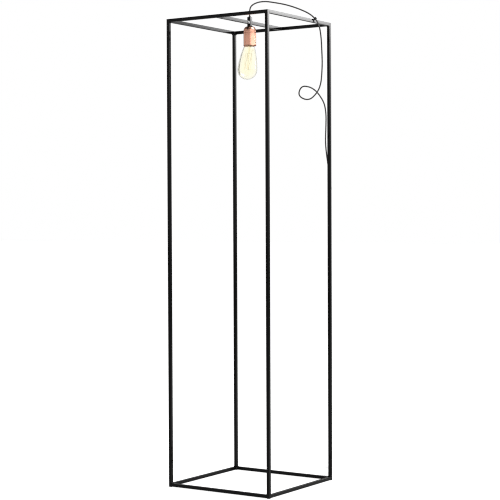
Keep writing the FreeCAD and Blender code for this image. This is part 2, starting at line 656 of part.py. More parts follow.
def plug(start):
    """Flat two-pin plug on its edge: body, relief and two round pins."""
    tall, thick = PLUG_TALL / 2, PLUG_THICK / 2
    body_start = start + RELIEF_LENGTH
    neck = 6.5
    waist = PLUG_LENGTH * 0.5
    corners = outline([(0, -neck), (0, neck), (waist * 0.45, neck + 3.4, waist, tall), (PLUG_LENGTH, tall),
                       (PLUG_LENGTH, -tall), (waist, -tall), (waist * 0.45, -neck - 3.4, 0, -neck)])[:-1]
    corners = [Vector(0, p.x, p.z) for p in corners]
    profile = Part.makePolygon(corners + corners[:1])
    face = Part.Face(profile)
    face.translate(Vector(-thick, 0, 0))
    body = face.extrude(Vector(2 * thick, 0, 0))
    rims = [e for e in body.Edges if abs(abs(e.CenterOfMass.x) - thick) < 1e-6
            and e.CenterOfMass.y < PLUG_LENGTH - 1e-6]
    body = body.makeChamfer(1.5, rims)
    place = (HANK_ACROSS, body_start, tall)
    save("plug_body", tucked(body, *place))
    pins = []
    for side in (-1, 1):
        z = side * PIN_SPACING / 2
        pin = turned([(0, 0), (PIN_RADIUS, 0), (PIN_RADIUS, PIN_LENGTH - 1), (PIN_RADIUS - 0.8, PIN_LENGTH),
                      (0, PIN_LENGTH)], 1, 16)
        pin.rotate(Vector(0, 0, 0), Vector(1, 0, 0), -90)
        pin.translate(Vector(0, PLUG_LENGTH, z))
        pins.append(tucked(pin, *place))
    save("plug_pins", pins)
    cone = relief(RELIEF_LENGTH, 4.6, 2.9)
    cone.rotate(Vector(0, 0, 0), Vector(1, 0, 0), 90)
    save("plug_relief", tucked(cone, *place))


cage()
corner_welds()
crossbar()
hanger()
lampholder()
bulb()
plug(cord())
clips()
switch()
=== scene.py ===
"""Looks of the wire cage floor lamp: black square steel bar, copper lampholder, clear bulb, textile cord.

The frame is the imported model's: +Z up, the origin in the middle of the lamp's foot. Sizes are in
millimetres until a piece is made, and in metres from there on.
"""
import json
import math

import bmesh
import bpy
import numpy as np
from mathutils import Matrix, Vector


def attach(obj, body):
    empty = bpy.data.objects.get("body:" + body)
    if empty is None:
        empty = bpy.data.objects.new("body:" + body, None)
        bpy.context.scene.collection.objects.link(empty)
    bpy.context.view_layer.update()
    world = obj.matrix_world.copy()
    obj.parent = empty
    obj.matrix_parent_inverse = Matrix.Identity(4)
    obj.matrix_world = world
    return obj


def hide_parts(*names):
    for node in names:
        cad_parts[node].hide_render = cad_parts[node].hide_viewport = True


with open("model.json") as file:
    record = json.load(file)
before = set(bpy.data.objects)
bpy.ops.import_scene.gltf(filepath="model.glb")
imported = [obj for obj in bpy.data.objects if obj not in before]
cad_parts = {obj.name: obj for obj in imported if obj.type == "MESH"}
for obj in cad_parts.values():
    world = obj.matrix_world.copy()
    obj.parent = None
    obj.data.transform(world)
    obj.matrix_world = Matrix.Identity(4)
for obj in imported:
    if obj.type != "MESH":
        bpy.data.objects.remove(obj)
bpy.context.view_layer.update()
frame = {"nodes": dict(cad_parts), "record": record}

MM = 0.001
TAU = 2 * math.pi

# ------------------------------------------------------------------ sizes, all in millimetres
HEIGHT, HALF, BAR = 1500.0, 192.0, 10.0              # the cage, half its side, and its square bar
PAD_HEIGHT, BAR_EDGE, WELD_LEG, BAR_WELD_LEG = 1.5, 0.5, 3.5, 2.5   # the last is for the crossbar's welds
RIPPLE, RIPPLE_RISE, HOLLOW = 1.1, 0.055, 0.14      # weld: length of a crescent, then shares of its leg
WAVER, WAVER_LENGTH, WELD_ROW = 0.07, 4.1, 0.28     # how far and how often its toes waver; a mesh row
HANGER_SIDE, HANGER_RISE, HANGER_DROP = 12.0, 13.0, 17.0    # above and below the top of the cage

HOLDER_TOP, HOLDER_RADIUS, HOLDER_LENGTH, HOLDER_WALL = HEIGHT - HANGER_DROP, 20.3, 63.0, 1.2
DOME_HEIGHT, DOME_FLAT, COLLAR = 15.0, 7.0, 6.0     # the copper cap's shoulder, flat top and seam
BULB_BOTTOM, BULB_LENGTH, BULB_RADIUS, GLASS_WALL = 1311.0, 140.0, 32.0, 0.9
CAP_TOP = BULB_BOTTOM + BULB_LENGTH
CAP_RIM, CAP_RADIUS = CAP_TOP - 22.5, 13.0          # the bulb's metal screw cap
THREAD_PITCH, THREAD_ROW = 25.4 / 7, 0.35           # rise of a turn, and height of a row of its mesh
NECK, NECK_TOP = 11.6, CAP_TOP - 15.5               # radius and upper end of the glass inside that cap
GLASS_TILT = math.radians(5.5)
GLASS_LEAN = math.radians(33.5)                     # the glass leans away from this direction
TILT_PIVOT = CAP_TOP - 21.0
LOOPS, LOOP_RADIUS, FILAMENT, HOOK = 5, 10.0, 0.16, 0.17    # the filament's zigzag, then radii of wires

CORD = 4.5
TUCK = math.radians(30.3)                           # the spare cord lies in line behind the back right post
RELIEF_LENGTH, SWITCH_LENGTH = 20.0, 62.0
PLUG_TALL, PLUG_LENGTH, PIN_RADIUS, PIN_LENGTH, PIN_SPACING = 35.0, 36.0, 2.0, 19.0, 18.6
SLOTS = {part["node"]: part["material_slot"] for part in frame["record"]["subparts"]}


# ------------------------------------------------------------------ shader maths
class Wire:
    """A socket of one node tree, on which Python arithmetic adds Math nodes."""

    def __init__(self, tree, socket=None):
        self.tree, self.socket = tree, socket

    def node(self, kind, settings=None, **inputs):
        """Add a node, set its settings, then fill its sockets with values or links."""
        new = self.tree.nodes.new(kind)
        for name, value in (settings or {}).items():
            setattr(new, name, value)
        for name, value in inputs.items():
            key = int(name[1:]) if name[0] == "i" and name[1:].isdigit() else name.replace("_", " ")
            if isinstance(value, Wire):
                self.tree.links.new(value.socket, new.inputs[key])
            else:
                new.inputs[key].default_value = value
        return new

    def of(self, node, output=0):
        """Wire on an output of a node."""
        return Wire(self.tree, node.outputs[output])

    def __add__(self, other):
        return maths("ADD", self, other)

    def __sub__(self, other):
        return maths("SUBTRACT", self, other)

    def __rsub__(self, other):
        return maths("SUBTRACT", other, self)

    def __mul__(self, other):
        return maths("MULTIPLY", self, other)

    def __truediv__(self, other):
        return maths("DIVIDE", self, other)

    def __pow__(self, other):
        return maths("POWER", self, other)

    __radd__, __rmul__ = __add__, __mul__

    def span(self, low, high, to_low=0.0, to_high=1.0, **settings):
        """The value mapped from one span to another and held inside it."""
        return self.of(self.node("ShaderNodeMapRange", settings, i0=self, i1=low, i2=high,
                                 i3=to_low, i4=to_high))

    def ease(self, low, high):
        """The value eased from 0 at low to 1 at high."""
        return self.span(low, high, interpolation_type="SMOOTHSTEP")

    def either(self, one, other):
        """Shader that is one where this value is 0 and the other where it is 1."""
        return self.of(self.node("ShaderNodeMixShader", Fac=self, i1=one, i2=other))


def maths(operation, *values):
    """Wire on a Math node that works on wires and numbers."""
    wire = next(value for value in values if isinstance(value, Wire))
    inputs = {"i%d" % i: value for i, value in enumerate(values)}
    return wire.of(wire.node("ShaderNodeMath", {"operation": operation}, **inputs))


class Finish:
    """One material: a Principled shader with helpers for its patterns."""

    def __init__(self, name, colour, roughness, **sockets):
        self.material = bpy.data.materials.new(name)
        self.material.use_nodes = True
        tree = self.material.node_tree
        self.shader = tree.nodes["Principled BSDF"]
        self.output = tree.nodes["Material Output"]
        self.start = Wire(tree)
        self.surface = self.start.of(self.shader)
        self.set("Base Color", (*colour, 1))
        self.set("Roughness", roughness)
        for key, value in sockets.items():
            self.set(key.replace("_", " "), value)

    def set(self, name, value):
        """Put a value or a wire on one of the shader's sockets."""
        if isinstance(value, Wire):
            self.start.tree.links.new(value.socket, self.shader.inputs[name])
        else:
            self.shader.inputs[name].default_value = value

    def show(self, shader):
        """Let a shader take the Principled one's place on the surface."""
        self.start.tree.links.new(shader.socket, self.output.inputs["Surface"])

    def place(self, kind="Object"):
        """Wire on the piece's own coordinates: Object in metres, or UV."""
        return self.start.of(self.start.node("ShaderNodeTexCoord"), kind)

    def noise(self, scale, detail=3.0):
        """Soft noise from 0 to 1, with scale in cells per metre."""
        return self.start.of(self.start.node("ShaderNodeTexNoise", Vector=self.place(), Scale=scale,
                                             Detail=detail, Roughness=0.55), "Fac")

    def mix(self, factor, one, other):
        """Colour between two colours or wires."""
        one, other = (value if isinstance(value, Wire) else (*value, 1) for value in (one, other))
        return self.start.of(self.start.node("ShaderNodeMix", {"data_type": "RGBA"}, i0=factor, i6=one,
                                             i7=other), 2)

    def bump(self, height, distance, strength):
        """Bump on the shader's Normal from a height between 0 and 1."""
        self.set("Normal", self.start.of(self.start.node("ShaderNodeBump", Height=height,
                                                         Distance=distance, Strength=strength)))


def painted_steel():
    """Satin black paint: a cloudy tone, a gloss that comes and goes, and a faint orange peel."""
    f = Finish("cage_paint", (0.004, 0.004, 0.004), 0.1, IOR=1.26)
    f.set("Base Color", f.mix(f.noise(14.0).span(0.35, 0.75), (0.0020, 0.0020, 0.0021),
                              (0.0045, 0.0044, 0.0042)))
    f.set("Roughness", f.noise(60.0, 4.0).span(0.3, 0.7, 0.06, 0.10))
    f.bump(f.noise(420.0, 2.0), 0.00002, 0.3)
    return f.material


def polished_copper():
    """Lacquered copper plate: bright, with soft patches of tone and gloss."""
    f = Finish("polished_copper", (0.92, 0.50, 0.36), 0.2, Metallic=1.0)
    patch = f.noise(55.0, 4.0)
    f.set("Base Color", f.mix(patch.span(0.35, 0.7), (0.94, 0.49, 0.35), (0.91, 0.455, 0.32)))
    f.set("Roughness", patch.span(0.3, 0.75, 0.16, 0.24))
    return f.material


def simple(name, colour, roughness, grain=600.0, depth=0.00002, **sockets):
    """Plain finish with a fine grain in colour, roughness and height."""
    f = Finish(name, colour, roughness, **sockets)
    speck = f.noise(grain)
    f.set("Base Color", f.mix(speck, [c * 0.82 for c in colour], colour))
    f.set("Roughness", speck.span(0.3, 0.7, roughness * 0.88, min(roughness * 1.14, 1.0)))
    f.bump(speck, depth, 0.6)
    return f.material


def textile():
    """Braided cover: two sets of slanting yarns that pass over and under each other.

    The UV map runs in metres along the cord and from 0 to 1 round it. Each set is a sine of the
    distance along plus or minus the turn round the cord, and the higher one shows. The colour darkens
    into the hollows between the yarns, which is painted shade, with the yarns' own random tone mixed in.
    """
    f = Finish("cord_textile", (0.03, 0.03, 0.032), 0.85, Sheen_Weight=0.35, Sheen_Roughness=0.5)
    carriers, lay = 8, 0.0085
    parts = f.start.node("ShaderNodeSeparateXYZ", Vector=f.place("UV"))
    ahead, aside = f.start.of(parts, 0) * (TAU * carriers / lay), f.start.of(parts, 1) * (TAU * carriers)
    weave = maths("MAXIMUM", maths("SINE", ahead + aside), maths("SINE", ahead - aside)) * 0.5 + 0.5
    # painted shade: dark where the weave is low, between the yarns; the noise is the yarns' own random tone
    weave_shade_and_tone = (weave * 0.8 + f.noise(2600.0, 2.0) * 0.3).span(0.0, 1.0)
    f.set("Base Color", f.mix(weave_shade_and_tone, (0.030, 0.030, 0.031), (0.115, 0.113, 0.110)))
    f.set("Roughness", weave_shade_and_tone.span(0.0, 1.0, 0.95, 0.72))
    f.bump(weave_shade_and_tone, 0.00025, 0.8)
    return f.material


def clear_glass():
    """Clear glass, warm where it faces the eye, with a painted grey shade where the line of sight runs along
    its wall.

    The painted shade grows with facing ** 3. It is fullest on the side to which the glass leans, which is
    the side away from the bank of lights. Light passes the glass without a shadow.
    """
    f = Finish("clear_glass", (1.0, 0.985, 0.86), 0.0, IOR=1.45, Transmission_Weight=1.0)
    start = f.start
    facing = start.of(start.node("ShaderNodeLayerWeight", Blend=0.5), "Facing")
    axes = start.node("ShaderNodeSeparateXYZ", Vector=f.place())
    side = start.of(axes, 0) * math.cos(GLASS_LEAN) + start.of(axes, 1) * math.sin(GLASS_LEAN)
    # painted shade: the colour turns grey towards the glass's edge, most on the side away from the lights
    painted_rim_shade = (facing ** 3) * side.span(-0.03, 0.02, 1.0, 0.55)
    tint = f.mix(facing.span(0.05, 0.5), (1.0, 0.972, 0.840), (1.0, 0.995, 0.945))
    f.set("Base Color", f.mix(painted_rim_shade, tint, (0.42, 0.41, 0.38)))
    shadow = start.of(start.node("ShaderNodeLightPath"), "Is Shadow Ray")
    clear = start.node("ShaderNodeBsdfTransparent", Color=(0.98, 0.975, 0.94, 1))
    f.show(shadow.either(f.surface, start.of(clear)))
    return f.material


# ------------------------------------------------------------------ mesh tools
CRISP = 35                      # degrees between two faces from which their edge is a sharp one
pieces = {}                     # every finished piece by its name


def piece(name, points, faces, material, smooth=True, uv=None):
    """Mesh object from arrays of points in millimetres and of faces, with its place in its mesh."""
    mesh = bpy.data.meshes.new(name)
    mesh.from_pydata((np.asarray(points) * MM).tolist(), [], [list(map(int, face)) for face in faces])
    if uv is not None:
        mesh.uv_layers.new(name="UVMap").data.foreach_set("uv", np.asarray(uv, np.float32).ravel())
    finish_mesh(mesh, smooth, turn_out=uv is None)
    stand(name, name, mesh, material)
    if smooth and uv is None:
        keep_flats(pieces[name])
    return pieces[name]


def stand(key, name, mesh, material):
    """Object with a finished mesh and its material, kept in the list of pieces."""
    pieces[key] = bpy.data.objects.new(name, mesh)
    bpy.context.scene.collection.objects.link(pieces[key])
    mesh.materials.append(material)


def keep_flats(finished):
    """Shading led by the largest faces, so that a rounded edge doesn't bend the flat beside it."""
    finished.modifiers.new("flats", "WEIGHTED_NORMAL").keep_sharp = True


def finish_mesh(mesh, smooth=True, turn_out=True):
    """Faces turned outwards, and smooth shading that stays crisp at sharp edges."""
    if turn_out:
        body = bmesh.new()
        body.from_mesh(mesh)
        bmesh.ops.recalc_face_normals(body, faces=body.faces)
        body.to_mesh(mesh)
        body.free()
    mesh.polygons.foreach_set("use_smooth", np.full(len(mesh.polygons), smooth))
    if smooth:
        mesh.set_sharp_from_angle(angle=math.radians(CRISP))
    mesh.update()


def settle(finished, *nodes):
    """A finished piece takes the place of CAD nodes, and moves and is painted as they are."""
    record = frame["record"]
    body = next(name for name, held in record["behaviour"]["bodies"].items() if nodes[0] in held)
    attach(finished, body)
    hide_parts(*nodes)


def lattice(rows, columns, wrap_rows=False):
    """Quads of a grid of points whose columns close into rings, and its rows too where asked."""
    i, j = np.meshgrid(np.arange(rows if wrap_rows else rows - 1), np.arange(columns), indexing="ij")
    i2, j2 = (i + 1) % rows, (j + 1) % columns
    quads = np.stack([i * columns + j, i * columns + j2, i2 * columns + j2, i2 * columns + j], -1)
    return quads.reshape(-1, 4)


def joined(parts):
    """One array of points and one list of faces from several pairs of them."""
    points, faces, start = [], [], 0
    for some, their in parts:
        points.append(np.asarray(some, float))
        faces += [np.asarray(face) + start for face in their]
        start += len(some)
    return np.concatenate(points), faces


def frames_along(path):
    """Unit vectors across a path, carried along it without twist."""
    tangent = np.gradient(path, axis=0)
    tangent /= np.linalg.norm(tangent, axis=1)[:, None]
    across = np.cross(tangent[0], (math.cos(TUCK), math.sin(TUCK), 0.0))
    across /= np.linalg.norm(across)
    pairs = []
    for t in tangent:
        across = across - t * np.dot(across, t)
        across = across / np.linalg.norm(across)
        pairs.append((across, np.cross(t, across)))
    return np.array(pairs).transpose(1, 0, 2)


def capped(rows, columns):
    """Faces of a grid whose columns close into rings, with one face over each of its two ends."""
    first = np.arange(columns)
    return list(lattice(rows, columns)) + [first[::-1], first + (rows - 1) * columns]


def tube(path, radius, sides):
    """Points and faces of a round closed tube along a path."""
    path = np.asarray(path, float)
    across, up = frames_along(path)
    turn = TAU * np.arange(sides) / sides
    rings = path[:, None] + radius * (across[:, None] * np.cos(turn)[None, :, None]
                                      + up[:, None] * np.sin(turn)[None, :, None])
    return rings.reshape(-1, 3), capped(len(path), sides)


def eased_corners(outline, radius, steps=3):
    """Closed outline with each corner rounded by a short parabola from one side to the next."""
    corner = np.asarray(outline, float)[:, None]
    start, end = (
        corner + side * np.minimum(radius / np.linalg.norm(side, axis=-1, keepdims=True), 0.45)
        for side in (np.roll(corner, 1, axis=0) - corner, np.roll(corner, -1, axis=0) - corner))
    t = np.linspace(0, 1, steps + 1)[:, None]
    rounded = (1 - t) ** 2 * start + 2 * t * (1 - t) * corner + t * t * end
    return rounded.reshape(-1, corner.shape[-1])


def arc(centre, radii, start, end, steps):
    """Points of an ellipse's arc in an outline, from one angle in degrees to another."""
    angle = np.radians(np.linspace(start, end, steps + 1))
    return np.stack([centre[0] + radii[0] * np.cos(angle), centre[1] + radii[1] * np.sin(angle)], -1)


def turned(outline, sides=96):
    """Points and faces of an outline of (radius, height) turned round Z; on the axis it has one point."""
    radius, height = np.asarray(outline, float).T[:, :, None]
    turn = TAU * np.arange(sides) / sides
    rings = np.stack(np.broadcast_arrays(radius * np.cos(turn), radius * np.sin(turn), height), -1)
    kept = (radius > 1e-6) | (np.arange(sides) == 0)
    index = np.cumsum(kept) - 1
    quads = index[lattice(len(rings), sides, wrap_rows=True)].tolist()
    faces = [list(dict.fromkeys(quad)) for quad in quads]
    return rings[kept], [face for face in faces if len(face) > 2]


def threaded(points, low, high, depth):
    """Round thread pressed into a turned wall: radius grows by depth * sin(turn - tau * z / pitch),
    faded out within one pitch of both ends."""
    radius = np.hypot(points[:, 0], points[:, 1])
    turn = np.arctan2(points[:, 1], points[:, 0])
    fade = np.clip(np.minimum(points[:, 2] - low, high - points[:, 2]) / THREAD_PITCH, 0, 1)
    grown = radius + depth * fade * np.sin(turn - TAU * points[:, 2] / THREAD_PITCH)
    share = np.where(radius > 1e-6, grown / np.maximum(radius, 1e-6), 1.0)
    return points * np.stack([share, share, np.ones_like(share)], -1)


def tucked(points, across, along, height):
    """Points drawn about their own origin, set down in the line of the spare cord."""
    points = np.asarray(points, float)
    c, s = math.cos(TUCK), math.sin(TUCK)
    x, y = points[:, 0] + across, points[:, 1] + along
    return np.stack([x * c - y * s, x * s + y * c, points[:, 2] + height], -1)


def tilted(points):
    """The glass leans in its cap, its lower end away from the back right post."""
    pivot = np.array([0, 0, TILT_PIVOT])
    turn = Matrix.Rotation(GLASS_TILT, 3, Vector((-math.sin(GLASS_LEAN), math.cos(GLASS_LEAN), 0)))
    return (np.asarray(points, float) - pivot) @ np.array(turn).T + pivot


def eased(node, width, material):
    """A CAD node's own solid, its triangles joined into faces and its sharp edges rounded."""
    body = bmesh.new()
    body.from_mesh(frame["nodes"][node].data)
    bmesh.ops.remove_doubles(body, verts=body.verts, dist=2e-6)
    bmesh.ops.dissolve_limit(body, angle_limit=math.radians(1), verts=body.verts, edges=body.edges)
    sharp = math.radians(CRISP)
    edges = [e for e in body.edges if len(e.link_faces) == 2 and e.calc_face_angle(0) > sharp]
    bmesh.ops.bevel(body, geom=edges, offset=width * MM, offset_type="OFFSET", segments=3, profile=0.5,
                    affect="EDGES", clamp_overlap=True)
    mesh = bpy.data.meshes.new(node)
    body.to_mesh(mesh)
    body.free()
    finish_mesh(mesh)
    stand(node, node + "_eased", mesh, material)
    keep_flats(pieces[node])
    settle(pieces[node], node)


# ------------------------------------------------------------------ cage
def square_bar(low, high, edge=0.55, end=0.3):
    """Points and faces of a square bar between two corners, its long edges and its ends eased."""
    low, high = np.asarray(low, float), np.asarray(high, float)
    middle, half = (low + high) / 2, (high - low) / 2
    axis = int(np.argmax(half))
    a, b = (axis + 1) % 3, (axis + 2) % 3
    corners = np.array([(-1, -1), (1, -1), (1, 1), (-1, 1)]) * (half[a], half[b])
    stations = [(half[axis], end), (half[axis] - 0.3 * end, 0.3 * end), (half[axis] - end, 0)]
    rows = []
    for place, inset in [(-place, inset) for place, inset in stations] + stations[::-1]:
        ring = eased_corners(corners * (1 - inset / half[a]), edge, steps=4)
        row = np.zeros((len(ring), 3))
        row[:, a], row[:, b], row[:, axis] = ring[:, 0], ring[:, 1], place
        rows.append(row + middle)
    return np.concatenate(rows), capped(len(rows), len(ring))


def cage(paint):
    """Posts, rails and crossbar: square bar with rolled edges, each in place of its node."""
    mid, inner, pad = HALF - BAR / 2, HALF - BAR, PAD_HEIGHT
    spans = {}
    for name, sx, sy in (("front_left", -1, -1), ("front_right", 1, -1), ("back_right", 1, 1),
                         ("back_left", -1, 1)):
        x, y = sx * mid, sy * mid
        spans["post_" + name] = ((x - BAR / 2, y - BAR / 2, pad), (x + BAR / 2, y + BAR / 2, HEIGHT))
    for level, z in (("bottom", pad), ("top", HEIGHT - BAR)):
        for name, side in (("front", -1), ("back", 1)):
            y = side * mid
            spans["%s_rail_%s" % (level, name)] = ((-inner, y - BAR / 2, z), (inner, y + BAR / 2, z + BAR))
        for name, side in (("left", -1), ("right", 1)):
            x = side * mid
            spans["%s_rail_%s" % (level, name)] = ((x - BAR / 2, -inner, z), (x + BAR / 2, inner, z + BAR))
    reach = HANGER_SIDE / 2
    spans["crossbar_front"] = ((-BAR / 2, -inner, HEIGHT - BAR), (BAR / 2, -reach, HEIGHT))
    spans["crossbar_back"] = ((-BAR / 2, reach, HEIGHT - BAR), (BAR / 2, inner, HEIGHT))
    for name, (low, high) in spans.items():
        end = 0.5 if name.startswith("post") else 0.02
        settle(piece(name + "_bar", *square_bar(low, high, end=end), paint), name)


def weld_bead(corner, leg_a, leg_b, along, rng):
    """Points and faces of a fillet weld: a hollow face with overlapping crescents laid along it.

    Across the face, s runs from leg a to leg b and the face sinks by 4 s (1 - s) of its hollow. Along
    it each crescent rises slowly and drops at its front, and both toes waver a little.
    """
    corner, leg_a, leg_b, along = (np.asarray(v, float) for v in (corner, leg_a, leg_b, along))
    length = np.linalg.norm(along)
    rows, columns = int(length / WELD_ROW) + 2, 7
    t = np.linspace(0, 1, rows)[:, None]
    s = np.linspace(0, 1, columns)[None, :]
    waver = 1 + WAVER * np.sin(TAU * t * length / WAVER_LENGTH + rng.uniform(0, TAU))
    crescent = (t * length / RIPPLE + 0.35 * (2 * s - 1) ** 2 + rng.uniform(0, 1)) % 1.0
    rise = RIPPLE_RISE * crescent * np.sin(math.pi * np.clip(s, 0.02, 0.98))
    sink = HOLLOW * 4 * s * (1 - s)
    a = ((1 - s) * waver - sink / 2 + rise)[..., None]
    b = (s * waver - sink / 2 + rise)[..., None]
    face = corner + t[..., None] * along + a * leg_a + b * leg_b
    heel = corner + t * along - 0.05 * (leg_a + leg_b)
    grid = np.concatenate([face, heel[:, None]], 1)
    return grid.reshape(-1, 3), capped(rows, columns + 1)


def welds(paint):
    """Beads in the cage's corners, at the crossbar's ends and at the hanger block."""
    rng = np.random.default_rng(7)
    inner, trim, leg = HALF - BAR, BAR_EDGE, WELD_LEG
    long = BAR - 2 * trim
    beads = []
    for sx in (-1, 1):
        for sy in (-1, 1):
            x, y = sx * inner, sy * inner
            for z, up in ((PAD_HEIGHT + BAR, 1), (HEIGHT - BAR, -1)):
                inward_x, inward_y, upright = (-sx * leg, 0, 0), (0, -sy * leg, 0), (0, 0, up * leg)
                beads.append(weld_bead((x, y + sy * trim, z), inward_x, upright, (0, sy * long, 0), rng))
                beads.append(weld_bead((x + sx * trim, y, z), inward_y, upright, (sx * long, 0, 0), rng))
                low = z - BAR + trim if up > 0 else z + trim
                beads.append(weld_bead((x, y, low), inward_x, inward_y, (0, 0, long), rng))
    settle(piece("corner_beads", *joined(beads), paint), "corner_welds")
    beads = []
    leg, reach = BAR_WELD_LEG, HANGER_SIDE / 2
    for sy in (-1, 1):
        for sx in (-1, 1):
            beads.append(weld_bead((sx * BAR / 2, sy * inner, HEIGHT - BAR + trim),
                                   (sx * leg, 0, 0), (0, -sy * leg, 0), (0, 0, long), rng))
        for z, up in ((HEIGHT, 1), (HEIGHT - BAR, -1)):
            beads.append(weld_bead((-long / 2, sy * reach, z), (0, sy * leg, 0), (0, 0, up * leg),
                                   (long, 0, 0), rng))
    settle(piece("crossbar_beads", *joined(beads), paint), "crossbar_welds")


def hanger(finishes):
    """Square block on the crossbar with the cord's bush, and the bright screw beside it."""
    half, top = HANGER_SIDE / 2, HEIGHT + HANGER_RISE
    block = square_bar((-half, -half, HOLDER_TOP), (half, half, top), edge=1.0, end=0.8)
    settle(piece("hanger", *block, finishes["cage_paint"]), "hanger_block")
    bush = [(2.35, top - 6), (2.95, top - 6), (2.95, top), (4.4, top), (4.4, top + 1.1), (3.6, top + 2),
            (2.9, top + 2), (2.35, top + 1.4)]
    settle(piece("bush", *turned(eased_corners(bush, 0.25), 48), finishes[SLOTS["cord_bush"]]), "cord_bush")
    eased("bar_screw", 0.12, finishes[SLOTS["bar_screw"]])


# ------------------------------------------------------------------ lampholder
def lampholder(finishes):
    """Spun copper cap and shell that meet at a seam, and what shows inside their mouth."""
    r, wall, top, bottom = HOLDER_RADIUS, HOLDER_WALL, HOLDER_TOP, HOLDER_TOP - HOLDER_LENGTH
    copper = finishes["polished_copper"]
    shoulder = top - DOME_HEIGHT
    seam = shoulder - COLLAR
    collar = seam - COLLAR
    sweep = r - DOME_FLAT
    dome = arc((DOME_FLAT, shoulder), (sweep, DOME_HEIGHT), 90, 0, 24)
    inside = arc((DOME_FLAT, shoulder), (sweep - wall, DOME_HEIGHT - wall), 0, 90, 16)
    cap = [(5.1, top), (DOME_FLAT - 1, top)] + list(dome) + [
        (r, seam + 0.5), (r - 0.35, seam), (r - wall, seam), (r - wall, collar), (r - 2 * wall, collar),
        (r - 2 * wall, shoulder)] + list(inside[2:]) + [(5.1, top - wall)]
    settle(piece("cap", *turned(cap, 128), copper), "holder_cap")
    lip = arc((r, bottom + 0.75), (0.75, 0.75), 60, -120, 10)
    shell = [(r - wall + 0.1, seam - 0.15), (r - 0.4, seam - 0.15), (r, seam - 0.6), (r, bottom + 1.9)]
    shell += list(lip) + [(r - wall + 0.1, bottom + 0.5), (r - wall + 0.1, bottom + 2)]
    settle(piece("shell", *turned(shell, 128), copper), "holder_shell")

    sleeve_in, body = CAP_RADIUS + 0.35, r - wall - 0.2
    sleeve_out = sleeve_in + 0.5
    floor, mouth = CAP_TOP + 5.0, bottom + 9.0
    inset, deck = r - 2 * wall - 0.2, floor + 11.5
    insert = [(0, floor), (sleeve_out + 0.1, floor), (sleeve_out + 0.1, mouth + 1),
              (sleeve_out + 1.1, mouth), (body - 0.8, mouth), (body, mouth + 0.8),
              (body, collar - 0.3), (inset, collar - 0.3), (inset, deck), (0, deck)]
    settle(piece("insert", *turned(insert, 96), finishes[SLOTS["socket_insert"]]), "socket_insert")
    wall_rows = np.arange(mouth - 0.5, floor - 0.6, THREAD_ROW)
    sleeve = [(sleeve_in - 4, floor), (sleeve_in - 4, floor - 0.5), (sleeve_in, floor - 0.5)]
    sleeve += [(sleeve_in, z) for z in wall_rows[::-1]]
    sleeve += [(sleeve_in, mouth - 0.9), (sleeve_out + 0.7, mouth - 0.9), (sleeve_out + 0.7, mouth - 0.1),
               (sleeve_out - 0.1, mouth - 0.1)]
    sleeve += [(sleeve_out - 0.1, z) for z in wall_rows] + [(sleeve_out - 0.1, floor)]
    points, faces = turned(sleeve, 96)
    points = threaded(points, mouth, floor - 1, 0.22)
    settle(piece("sleeve", points, faces, finishes[SLOTS["screw_sleeve"]]), "screw_sleeve")
    eased("centre_contact", 0.1, finishes[SLOTS["centre_contact"]])


# ------------------------------------------------------------------ bulb
def glass_side(offset):
    """Outline of the glass from its neck to its lowest point, drawn in by an offset.

    From the neck it swells by arcs through the CAD's own points to the ball, whose last part is a
    quarter circle.
    """
    ball = BULB_BOTTOM + BULB_RADIUS
    knots = [(NECK, NECK_TOP), (NECK, CAP_RIM - 1.5), (14.4, CAP_RIM - 7.3), (18.6, CAP_RIM - 14.5),
             (26.8, CAP_RIM - 46.5), (BULB_RADIUS * 0.988, ball + BULB_RADIUS * 0.155)]
    upper = three_point_arc(knots[1], knots[2], knots[3], 14)
    lower = three_point_arc(knots[3], knots[4], knots[5], 34)
    bowl = arc((0, ball), (BULB_RADIUS, BULB_RADIUS), 8.9, -90, 40)
    line = np.concatenate([[knots[0]], upper, lower[1:], bowl[1:]])
    step = np.gradient(line, axis=0)
    step /= np.linalg.norm(step, axis=1)[:, None]
    line = line + offset * np.stack([step[:, 1], -step[:, 0]], -1)
    line[-1, 0] = 0.0
    return line


def three_point_arc(start, middle, end, steps):
    """Points of the circle's arc from start through middle to end."""
    (ax, ay), (bx, by), (cx, cy) = start, middle, end
    a, b, c = ax ** 2 + ay ** 2, bx ** 2 + by ** 2, cx ** 2 + cy ** 2
    d = 2 * (ax * (by - cy) + bx * (cy - ay) + cx * (ay - by))
    x = (a * (by - cy) + b * (cy - ay) + c * (ay - by)) / d
    y = (a * (cx - bx) + b * (ax - cx) + c * (bx - ax)) / d
    radius = math.hypot(ax - x, ay - y)
    first, last = (math.degrees(math.atan2(py - y, px - x)) for px, py in (start, end))
    last = first + (last - first + 180) % 360 - 180
    return arc((x, y), (radius, radius), first, last, steps)


